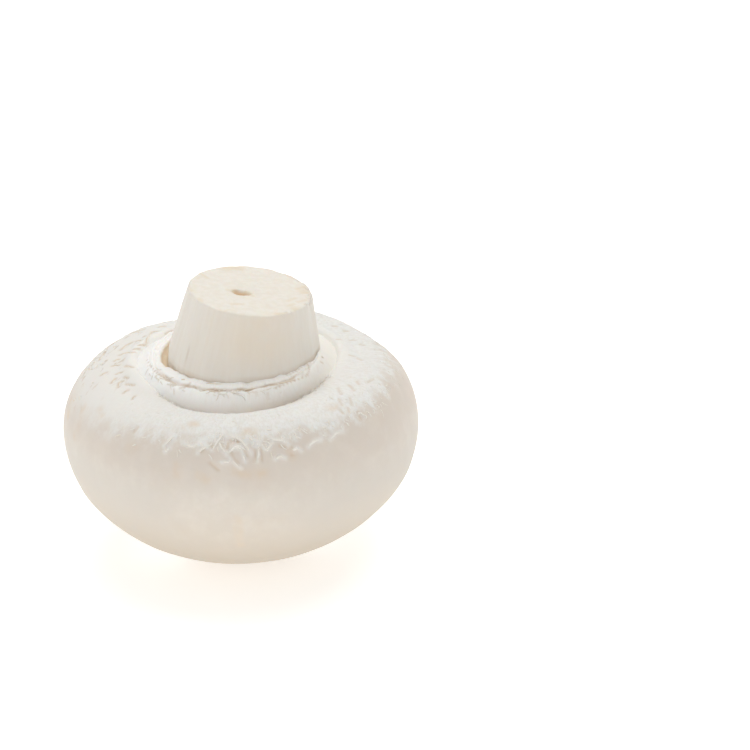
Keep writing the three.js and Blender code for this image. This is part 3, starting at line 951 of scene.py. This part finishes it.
# %% Lay the cap's colours over each other
FLANK_LIGHT = (0.80, 0.75, 0.675)
SHOULDER_SHADE = (0.69, 0.605, 0.535)
SIDE_SHADE = (0.685, 0.64, 0.58)
CROWN_TAN = (0.60, 0.525, 0.43)
WOOL_SHADE = (0.79, 0.77, 0.725)
WORN_CREAM = (0.805, 0.78, 0.73)
JOINED_WHITE = (0.865, 0.85, 0.81)
CREASE_TAN = (0.64, 0.50, 0.36)
STAIN_TAN = (0.74, 0.61, 0.47)
CROWN_HEIGHTS = (18 * MM, 5 * MM)
DASH_SLANT, DASH_STRETCH = math.radians(-62), (0.45, 1.7, 1.2)


def scale_dashes(tree, place):
    """Short dashes that all slant the same way, the edges of small scales."""
    sockets = {"Vector": place, "Rotation": (0, 0, DASH_SLANT)}
    turned = add_node(tree, "ShaderNodeMapping", sockets, vector_type="POINT").outputs["Vector"]
    stretched = add_node(tree, "ShaderNodeMapping", {"Vector": turned, "Scale": DASH_STRETCH})
    return ramp(tree, speckle(tree, stretched.outputs["Vector"], 900, detail=2), 0.6, 0.7)


def flank_colour(tree, place):
    mottle = ramp(tree, speckle(tree, place, 420, detail=5, roughness=0.6), 0.4, 0.7)
    blotch = ramp(tree, speckle(tree, place, 130, detail=4), 0.5, 0.72)
    colour = tint(tree, times(tree, mottle, 0.5), FLANK_CREAM, FLANK_LIGHT)
    colour = tint(tree, times(tree, blotch, 0.35), colour, BLUSH)
    turn = read_number(tree, "turn")
    under_shoulder = times(tree, ramp(tree, turn, 0.1, 0.5), ramp(tree, turn, 1.2, 0.8))
    colour = tint(tree, times(tree, under_shoulder, 0.35), colour, SHOULDER_SHADE)
    # Painted shade darkens both sides of the lower flank.
    colour = tint(tree, kept(tree, "dull", 0.85), colour, SIDE_SHADE)
    # Towards the crown at the bottom the flank is painted tanner and darker: partly its own tan, partly
    # painted shade.
    height = add_node(tree, "ShaderNodeSeparateXYZ", {"Vector": place}).outputs["Z"]
    under = ramp(tree, height, *CROWN_HEIGHTS)
    return tint(tree, times(tree, under, 0.9), colour, CROWN_TAN)


def wool_colour(tree, skin_way):
    tangle = speckle(tree, skin_way, 2.2, detail=5, roughness=0.7)
    share = arithmetic(tree, "MAXIMUM", ramp(tree, tangle, 0.35, 0.6), read_number(tree, "worn"))
    colour = tint(tree, share, WOOL_SHADE, WOOL_WHITE)
    return tint(tree, kept(tree, "worn", 0.8), colour, WORN_CREAM)


# %% Make the cap's skin
def make_cap_skin():
    paint, tree, shader = new_material("cap_skin")
    place, skin_way = object_place(tree), read_vector(tree, "skin_way")
    unworn = ramp(tree, read_number(tree, "worn"), 0.7, 0.1)
    patchy = ramp(tree, speckle(tree, skin_way, 0.5, detail=6, roughness=0.65), 0.34, 0.66, -0.42, 0.42)
    patchy = times(tree, patchy, read_number(tree, "fading"))
    cover = ramp(tree, arithmetic(tree, "ADD", read_number(tree, "woolly"), patchy), 0.08, 0.95)
    colour = tint(tree, cover, flank_colour(tree, place), wool_colour(tree, skin_way))
    dashes = times(tree, scale_dashes(tree, place), read_number(tree, "scaly"))
    colour = tint(tree, times(tree, dashes, 0.6), colour, SCAR_TAN)
    faded = ramp(tree, speckle(tree, place, 480, detail=4), 0.35, 0.65, 0.1, 0.6)
    # Stains, and painted shadows among the front tufts, in one tan.
    stains = times(tree, read_number(tree, "stained"), faded)
    colour = tint(tree, stains, colour, STAIN_TAN)
    # Painted shade: the lip of the open crease beside the veil is darkened towards a pinkish grey.
    lip = kept(tree, "near_lip", 0.3)
    colour = tint(tree, lip, colour, BLUSH)
    joined = kept(tree, "joined", 0.7)
    colour = tint(tree, joined, colour, JOINED_WHITE)
    tufts = kept(tree, "tufted", 0.6)
    colour = tint(tree, tufts, colour, WOOL_WHITE)
    # The scales' edges are tan; in the folds of the wool the same tan is painted shade.
    creases = kept(tree, "creased", 0.6)
    colour = tint(tree, creases, colour, CREASE_TAN)
    tree.links.new(colour, shader.inputs["Base Color"])

    grain = speckle(tree, place, 1600, detail=4, roughness=0.6)
    relief = bump(tree, grain, 0.05, 0.35)
    cotton = speckle(tree, skin_way, 3.5, detail=5, roughness=0.7)
    cotton = times(tree, times(tree, cotton, cover), unworn)
    relief = bump(tree, cotton, 0.2, 0.35, relief)
    relief = bump(tree, dashes, -0.08, 0.6, relief)
    tree.links.new(relief, shader.inputs["Normal"])
    set_flesh(shader, roughness=0.6)
    return paint


cap.data.materials.append(make_cap_skin())
print("cap finished with", len(cap.data.materials), "material")

# %% [markdown]
# ## The veil's finish
# The skirt has faint lines from the stretched fibres, running from the margin to the rim. It is shadier
# near the margin, a painted shade, and creamiest at the right, where it clings to the stem. On the left,
# where it has come loose, it is painted whitest, a painted light. The tear and its lines are tan, but the
# dots along the crease and the line where the veil meets the stem are painted shade. The flesh inside the
# gap is tan, partly its own colour and partly painted shade.

# %% Make the veil's finish
VEIL_WHITE = (0.90, 0.885, 0.85)
VEIL_SHADE = (0.87, 0.845, 0.795)
VEIL_CREAM = (0.93, 0.89, 0.81)
VEIL_FOOT = (0.78, 0.705, 0.635)
VEIL_LOOSE = (0.98, 0.975, 0.955)
GAP_TAN = (0.84, 0.70, 0.53)


def make_veil_finish():
    paint, tree, shader = new_material("veil_skin")
    place, skin_way = object_place(tree), read_vector(tree, "skin_way")
    lines = speckle(tree, skin_way, 4.2, detail=3, roughness=0.6)
    colour = tint(tree, ramp(tree, lines, 0.3, 0.65), VEIL_SHADE, VEIL_WHITE)
    # Painted shade: the skirt's foot near the margin is darker and pinker.
    colour = tint(tree, kept(tree, "foot", 0.75), colour, VEIL_FOOT)
    fleck = ramp(tree, speckle(tree, place, 700, detail=3), 0.6, 0.7, 0, 0.4)
    colour = tint(tree, times(tree, fleck, read_number(tree, "raised")), colour, BLUSH)
    colour = tint(tree, kept(tree, "clinging", 0.7), colour, VEIL_CREAM)
    # Painted light: the left of the skirt is painted whiter.
    colour = tint(tree, kept(tree, "loose", 0.8), colour, VEIL_LOOSE)
    # Tan lines of the tear, and painted shade along the crease and where the veil meets the stem.
    lines_drawn = kept(tree, "scored", 0.45)
    colour = tint(tree, lines_drawn, colour, SCAR_TAN)
    colour = tint(tree, kept(tree, "torn", 0.85), colour, SCAR_TAN)
    # The flesh inside the gap: partly its own tan, partly painted shade in the recess.
    colour = tint(tree, read_number(tree, "hollow"), colour, GAP_TAN)
    tree.links.new(colour, shader.inputs["Base Color"])
    tree.links.new(bump(tree, lines, 0.12, 0.5), shader.inputs["Normal"])
    set_flesh(shader, roughness=0.65)
    return paint


veil.data.materials.append(make_veil_finish())

# %% [markdown]
# ## The stem's finish
# The skin is cream with faint upright fibres, whiter low down and on the left, and tan in a patch on its
# upper front. The cut shows the flesh, a yellower cream with a fine wet grain in faint rings, and
# a tan edge where the skin's cells have dried. The slit is tan inside, and so are the blade's strokes. The
# thin line where the veil touches the skin is tan, partly its own colour and partly painted contact shade.

# %% Make the stem's finish
STEM_SHADE = (0.78, 0.73, 0.655)
STEM_TAN = (0.80, 0.715, 0.60)
CUT_SHADE = (0.83, 0.78, 0.69)
RIM_TAN = (0.78, 0.66, 0.49)
SLIT_TAN = (0.80, 0.62, 0.42)
RING_SPACING = 5.5


def cut_colour(tree, place):
    grain = ramp(tree, speckle(tree, place, 1100, detail=4), 0.35, 0.65)
    flesh = tint(tree, grain, CUT_SHADE, CUT_CREAM)
    wander = speckle(tree, place, 260, detail=4)
    radial = arithmetic(tree, "ADD", read_number(tree, "radial"), times(tree, wander, 1.5))
    rings = arithmetic(tree, "SINE", times(tree, radial, RING_SPACING), 0.0)
    flesh = tint(tree, ramp(tree, rings, 0.2, 1, 0, 0.25), flesh, CUT_SHADE)
    patches = ramp(tree, speckle(tree, place, 330, detail=4), 0.5, 0.68)
    edge = times(tree, ramp(tree, radial, 6.4, 8.6, 0.12, 0.6), patches)
    flesh = tint(tree, edge, flesh, RIM_TAN)
    return tint(tree, kept(tree, "scored", 0.5), flesh, RIM_TAN)


def make_stem_finish():
    paint, tree, shader = new_material("stem_skin")
    place, skin_way = object_place(tree), read_vector(tree, "skin_way")
    lines = speckle(tree, skin_way, 1.8, detail=5, roughness=0.6)
    colour = tint(tree, ramp(tree, lines, 0.25, 0.75), STEM_SHADE, STEM_CREAM)
    patch = ramp(tree, speckle(tree, place, 110, detail=4), 0.3, 0.7, 0.35, 1)
    colour = tint(tree, times(tree, patch, read_number(tree, "tanned")), colour, STEM_TAN)
    # The thin tan line where the veil touches the stem: partly its own colour, partly painted contact shade.
    colour = tint(tree, kept(tree, "contact", 0.35), colour, SCAR_TAN)
    colour = tint(tree, read_number(tree, "cut"), colour, cut_colour(tree, place))
    colour = tint(tree, kept(tree, "nick", 0.22), colour, SCAR_TAN)
    colour = tint(tree, ramp(tree, read_number(tree, "slit"), 0.05, 0.8), colour, SLIT_TAN)
    tree.links.new(colour, shader.inputs["Base Color"])
    grain = bump(tree, speckle(tree, place, 1300, detail=4), 0.08, 0.5)
    tree.links.new(bump(tree, lines, 0.12, 0.4, grain), shader.inputs["Normal"])
    set_flesh(shader, roughness=0.6)
    return paint


stem.data.materials.append(make_stem_finish())

# %% [markdown]
# ## One strand, many times
# The skin carries loose fibres: tufts that curl off it, the frayed edge of the woolly mat, scales, and
# hairs across the crease. All of them are the same thing at other sizes, so one spindle is modelled, by
# extruding a small five-sided face, and then copied. Each copy is laid along a path on the skin.

# %% Model one strand
STRAND_SIDES = 5
STRAND_BLUNTNESS = 0.55


def girth(share):
    """The strand's thickness along it, thickest before the middle and thin at both ends."""
    return math.sin(math.pi * (0.04 + 0.92 * share**0.85)) ** STRAND_BLUNTNESS


def model_strand():
    """A spindle one metre long and one metre thick, along the upright axis."""
    bpy.ops.object.select_all(action="DESELECT")
    bpy.ops.mesh.primitive_circle_add(vertices=STRAND_SIDES, radius=0.5 * girth(0), fill_type="NGON")
    strand = bpy.context.object
    bpy.ops.object.mode_set(mode="EDIT")
    for step in range(1, PATH_STEPS + 1):
        share, before = step / PATH_STEPS, (step - 1) / PATH_STEPS
        move = {"value": (0, 0, share - before)}
        bpy.ops.mesh.extrude_region_move(TRANSFORM_OT_translate=move)
        spread = girth(share) / girth(before)
        bpy.ops.transform.resize(value=(spread, spread, 1), center_override=(0, 0, share))
    bpy.ops.mesh.select_all(action="SELECT")
    bpy.ops.mesh.normals_make_consistent(inside=False)
    bpy.ops.object.mode_set(mode="OBJECT")
    bpy.ops.object.shade_smooth()
    return strand


strand = model_strand()
print("one strand:", len(strand.data.polygons), "faces")

# %% [markdown]
# A strand may be drawn on the photograph, or it may grow by itself: it starts somewhere on the skin and
# walks over it in a heading that turns steadily, so it curls but never leaves the surface.

# %% Walk over the skin
def walked(skin, start, heading, length, curl):
    """A path over the skin from near a start, which curls by an angle on its way."""
    place, out, _, _ = skin.find_nearest(start)
    path = [(place, out)]
    for _ in range(PATH_STEPS):
        level = (heading - out * heading.dot(out)).normalized()
        heading = (level + out.cross(level) * curl / PATH_STEPS).normalized()
        place, out, _, _ = skin.find_nearest(place + heading * length / PATH_STEPS)
        path.append((place, out))
    return path


def grown_place(grow, angle, radius, height):
    """Where a growing function takes a point of the true shape."""
    point = np.array([[radius * math.cos(angle), radius * math.sin(angle), height]])
    return Vector(grow(point)[0])


def cap_place(angle, turn):
    """A place on the grown shoulder."""
    return grown_place(grow_cap, angle, *shoulder_point(turn))


def flat_way(angle):
    return Vector((math.cos(angle), math.sin(angle), 0))


def downhill(angle, slant):
    """The heading down the shoulder, turned sideways by a slant."""
    sideways = angle + slant
    return Vector((math.cos(sideways), math.sin(sideways), -0.5 * math.cos(slant)))


# %% Lay a copy of the strand along a path
def lay_strand(path, width, thickness, lift=0.0, tip=0.0, root=-0.1, roll=0.0, tone=0.0):
    """Bends a copy along a path, at a height that goes from its root over its lift to its tip."""
    copy = strand.copy()
    copy.data = strand.data.copy()
    bpy.context.collection.objects.link(copy)
    points = read_points(copy) * MM
    ring = np.rint(points[:, 2] * PATH_STEPS).astype(int)
    places = np.array([place for place, _ in path])
    outs = np.array([out for _, out in path])
    alongs = np.gradient(places, axis=0)
    alongs /= np.linalg.norm(alongs, axis=1)[:, None]
    sides = np.cross(outs, alongs)
    turned = outs * math.cos(roll) + sides * math.sin(roll)
    outs, sides = turned, sides * math.cos(roll) - outs * math.sin(roll)
    share = np.linspace(0, 1, PATH_STEPS + 1)
    rise = blend(blend(root, lift, smooth(share, 0, 0.35)), tip, smooth(share, 0.5, 1))
    middle = places + np.array([out for _, out in path]) * rise[:, None]
    across, through = points[:, :1] * width, points[:, 1:2] * thickness
    place_points(copy, middle[ring] + sides[ring] * across + outs[ring] * through)
    keep_number(copy, "tone", np.full(len(points), tone))
    return copy


def join_strands(name, strands, finish):
    bpy.ops.object.select_all(action="DESELECT")
    for piece in strands:
        piece.select_set(True)
    bpy.context.view_layer.objects.active = strands[0]
    bpy.ops.object.join()
    joined = bpy.context.object
    joined.name = name
    joined.data.materials.append(finish)
    print(name, "has", len(strands), "strands")
    return joined


# %% [markdown]
# The strands share one finish, a mix of two creams by each strand's own tone. They are thinner than the
# way light travels in flesh, so scattering would only take their colour away, and they have none.

# %% Make the strands' finish
STRAND_PALE, STRAND_DEEP = (0.86, 0.835, 0.78), (0.76, 0.65, 0.51)


def make_strand_finish():
    paint, tree, shader = new_material("loose_fibre")
    place = object_place(tree)
    fleck = ramp(tree, speckle(tree, place, 900, detail=3), 0.4, 0.7, 0, 0.25)
    share = arithmetic(tree, "ADD", read_number(tree, "tone"), fleck)
    tree.links.new(tint(tree, share, STRAND_PALE, STRAND_DEEP), shader.inputs["Base Color"])
    tree.links.new(bump(tree, speckle(tree, place, 2500), 0.03, 0.4), shader.inputs["Normal"])
    shader.inputs["Roughness"].default_value = 0.8
    return paint


strand_finish = make_strand_finish()
cap_skin = skin_of(cap)
veil_skin = skin_of(veil)
stem_skin = skin_of(stem)
chance = random.Random(23)

# %% [markdown]
# ## Tufts on the front of the shoulder
# The largest loose fibres hang where the mat ends, at the front. Each ridge that was raised there gets a
# thin free fibre along its crest, and smaller strays grow round them.

# %% Lay fibres on the tufts
def crest_fibres():
    for corners in TUFTS:
        yield lay_strand(drawn(cap_skin, corners), chance.uniform(0.22, 0.4), 0.14, lift=0.0, tip=-0.05,
                         root=-0.06, tone=chance.uniform(0, 0.15))


def grow_strays(count=12):
    for _ in range(count):
        angle = math.radians(chance.triangular(-150, -50, -95))
        turn = math.radians(chance.triangular(38, 58, 48))
        heading = downhill(angle, chance.uniform(-1.4, 1.4))
        path = walked(cap_skin, cap_place(angle, turn), heading, chance.uniform(0.7, 1.5),
                      chance.uniform(-1.6, 1.6))
        yield lay_strand(path, chance.uniform(0.12, 0.24), 0.1, lift=0.0, tip=chance.uniform(-0.06, 0),
                         tone=chance.uniform(0, 0.35))


front_tufts = join_strands("front_tufts", [*crest_fibres(), *grow_strays()], strand_finish)

# %% [markdown]
# ## The frayed edge of the mat
# Where the woolly mat ends, its fibres hang over the smooth flank in clumps, thickest at the right. The
# mat itself is dusted with short fibres lying every way.

# %% Fray the mat's edge
def fray_edge(count=170):
    for _ in range(count):
        angle = math.radians(chance.uniform(-100, 28))
        edge = float(mat_edge(np.array(angle)))
        clump = noise.noise((math.cos(angle) * 14, math.sin(angle) * 14, 3.1))
        if clump < chance.uniform(-0.5, 0.3):
            continue
        turn = edge + math.radians(chance.uniform(-6, 10))
        heading = downhill(angle, chance.gauss(0, 0.6))
        path = walked(cap_skin, cap_place(angle, turn), heading, chance.uniform(0.6, 1.7),
                      chance.uniform(-1.2, 1.2))
        yield lay_strand(path, chance.uniform(0.14, 0.28), 0.1, lift=-0.01, tip=chance.uniform(-0.08, 0.0),
                         tone=chance.uniform(0, 0.3))


def dust_mat(count=220):
    for _ in range(count):
        angle = math.radians(chance.uniform(-140, 70))
        turn = math.radians(chance.uniform(50, 86))
        heading = downhill(angle, chance.uniform(-math.pi, math.pi))
        path = walked(cap_skin, cap_place(angle, turn), heading, chance.uniform(0.4, 1.2),
                      chance.uniform(-2, 2))
        yield lay_strand(path, chance.uniform(0.08, 0.15), 0.08, lift=0.0, tip=chance.uniform(-0.06, 0.03))


woolly_edge = join_strands("woolly_edge", [*fray_edge(), *dust_mat()], strand_finish)

# %% [markdown]
# ## Scales on the left
# The dry skin at the back left has split into small flat scales that all slant the same way. Each has a
# dried tan edge, and the skin beside the edge is raised. So a scale is two strands side by side: a thin
# tan one, and a wide, flat, pale one that is rolled about its own length.

# %% Set the scales
SCALE_HEADING = math.radians(62)


def lay_scale(path, width):
    """A tan edge along a path, and a pale raised flake beside it."""
    yield lay_strand(path, chance.uniform(0.14, 0.2), 0.12, lift=0.0, tip=-0.04, root=-0.05,
                     tone=chance.uniform(0.7, 1))
    beside = []
    for (place, out), (ahead, _) in zip(path, [*path[1:], path[-1]]):
        along = ahead - place if ahead != place else place - path[-2][0]
        across = along.normalized().cross(out)
        beside.append((place + across * width * 0.45, out))
    yield lay_strand(beside, width, 0.16, lift=0.0, tip=-0.06, root=-0.06, roll=0.25)


def draw_scales():
    for corners in CREASES[:SCALE_CREASES]:
        yield from lay_scale(drawn(cap_skin, corners), chance.uniform(0.3, 0.45))


def set_scales(count=50):
    for _ in range(count):
        angle = math.radians(chance.triangular(108, 208, 160))
        turn = math.radians(chance.triangular(32, 84, 55))
        heading = flat_way(SCALE_HEADING + chance.gauss(0, 0.35))
        path = walked(cap_skin, cap_place(angle, turn), heading, chance.uniform(0.4, 1.3),
                      chance.uniform(-0.8, 0.8))
        yield from lay_scale(path, chance.uniform(0.25, 0.45))


skin_scales = join_strands("skin_scales", [*draw_scales(), *set_scales()], strand_finish)

# %% [markdown]
# ## Hairs in the crease and on the torn rim
# Fine hairs reach from the margin's lip across the crease to the veil, so the crease looks soft and
# broken. The veil's rim is frayed, and its torn edges are drawn on the photograph, one tan strand each. A
# few fibres that the knife pulled lie over the right of the cut.

# %% Grow hairs across the crease
def crease_hairs(count=260):
    for _ in range(count):
        angle = math.radians(chance.uniform(-150, 30))
        if grown_together(angle) > 0.6:
            continue
        radius = LIP_RADIUS + chance.uniform(0.3, 1.1)
        start = grown_place(grow_cap, angle, radius, LIP_HEIGHT + 0.6)
        inward = flat_way(angle + math.pi + chance.gauss(0, 0.5))
        path = walked(cap_skin, start, inward, chance.uniform(0.5, 1.2), chance.uniform(-1, 1))
        yield lay_strand(path, chance.uniform(0.07, 0.13), 0.1, lift=0.06, tip=chance.uniform(0.05, 0.25))


crease_fuzz = join_strands("crease_fuzz", list(crease_hairs()), strand_finish)


# %% Fray the veil's rim
TORN_EDGES = [
    [(163, 374), (167, 381)], [(171, 381), (177, 385)], [(181, 379), (185, 380)], [(193, 385), (198, 389)],
    [(199, 389), (208, 391), (218, 392), (228, 391)], [(230, 391), (240, 391), (250, 389), (258, 388)],
    [(204, 383), (214, 384), (224, 384)], [(262, 388), (275, 385), (290, 381), (303, 378)],
    [(321, 357), (324, 358)], [(181, 380), (185, 379)],
]


def fray_rim(count=90):
    for _ in range(count):
        angle = math.radians(chance.uniform(-170, -62))
        radius = RIM_RADIUS + chance.uniform(-0.5, 0.7)
        start = grown_place(grow_veil, angle, radius, RIM_HEIGHT)
        heading = flat_way(angle + math.pi / 2 + chance.gauss(0, 0.7))
        path = walked(veil_skin, start, heading, chance.uniform(0.4, 1.5), chance.uniform(-1, 1))
        yield lay_strand(path, chance.uniform(0.09, 0.2), 0.1, lift=0.02, tip=chance.uniform(-0.06, 0.05),
                         tone=chance.uniform(0, 0.25))


def tear_rim():
    for corners in TORN_EDGES:
        yield lay_strand(drawn(veil_skin, corners), 0.2, 0.16, lift=0.0, tip=-0.02, root=-0.04,
                         tone=chance.uniform(0.6, 0.9))


rim_tatters = join_strands("rim_tatters", [*fray_rim(), *tear_rim()], strand_finish)


# %% Pull fibres at the cut
def cut_fibres(count=46):
    for _ in range(count):
        angle = math.radians(chance.triangular(-60, 70, 5))
        radius = CUT_RADIUS - chance.uniform(0.1, 0.7)
        start = grown_place(grow_stem, angle, radius, CUT_HEIGHT)
        heading = flat_way(angle + chance.uniform(-1.5, 1.5))
        path = walked(stem_skin, start, heading, chance.uniform(0.5, 1.3), chance.uniform(-1, 1))
        yield lay_strand(path, chance.uniform(0.1, 0.24), 0.1, lift=0.0, tip=chance.uniform(-0.06, 0.02),
                         tone=chance.uniform(0, 0.4))


cut_rim_fibres = join_strands("cut_rim_fibres", list(cut_fibres()), strand_finish)
bpy.data.objects.remove(strand)
extras = [front_tufts, woolly_edge, skin_scales, crease_fuzz, rim_tatters, cut_rim_fibres]

# %% [markdown]
# ## Attach the mushroom to its body
# Every piece rides on the one body and stands for the solid, whose own mesh is hidden. The boxes of the
# solid and of the model are printed. The model must stay in the solid's box.

# %% Ride, replace and measure
pieces = [cap, veil, stem, *extras]
for piece in pieces:
    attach(piece, "root")
    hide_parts("button_mushroom")

low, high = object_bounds()
boxes = {
    "cad": [list(cad_low), list(cad_high)],
    "visual": [list(low), list(high)],
}
for name, (start, end) in boxes.items():
    print(name, [[round(value / MM, 2) for value in corner] for corner in (start, end)])
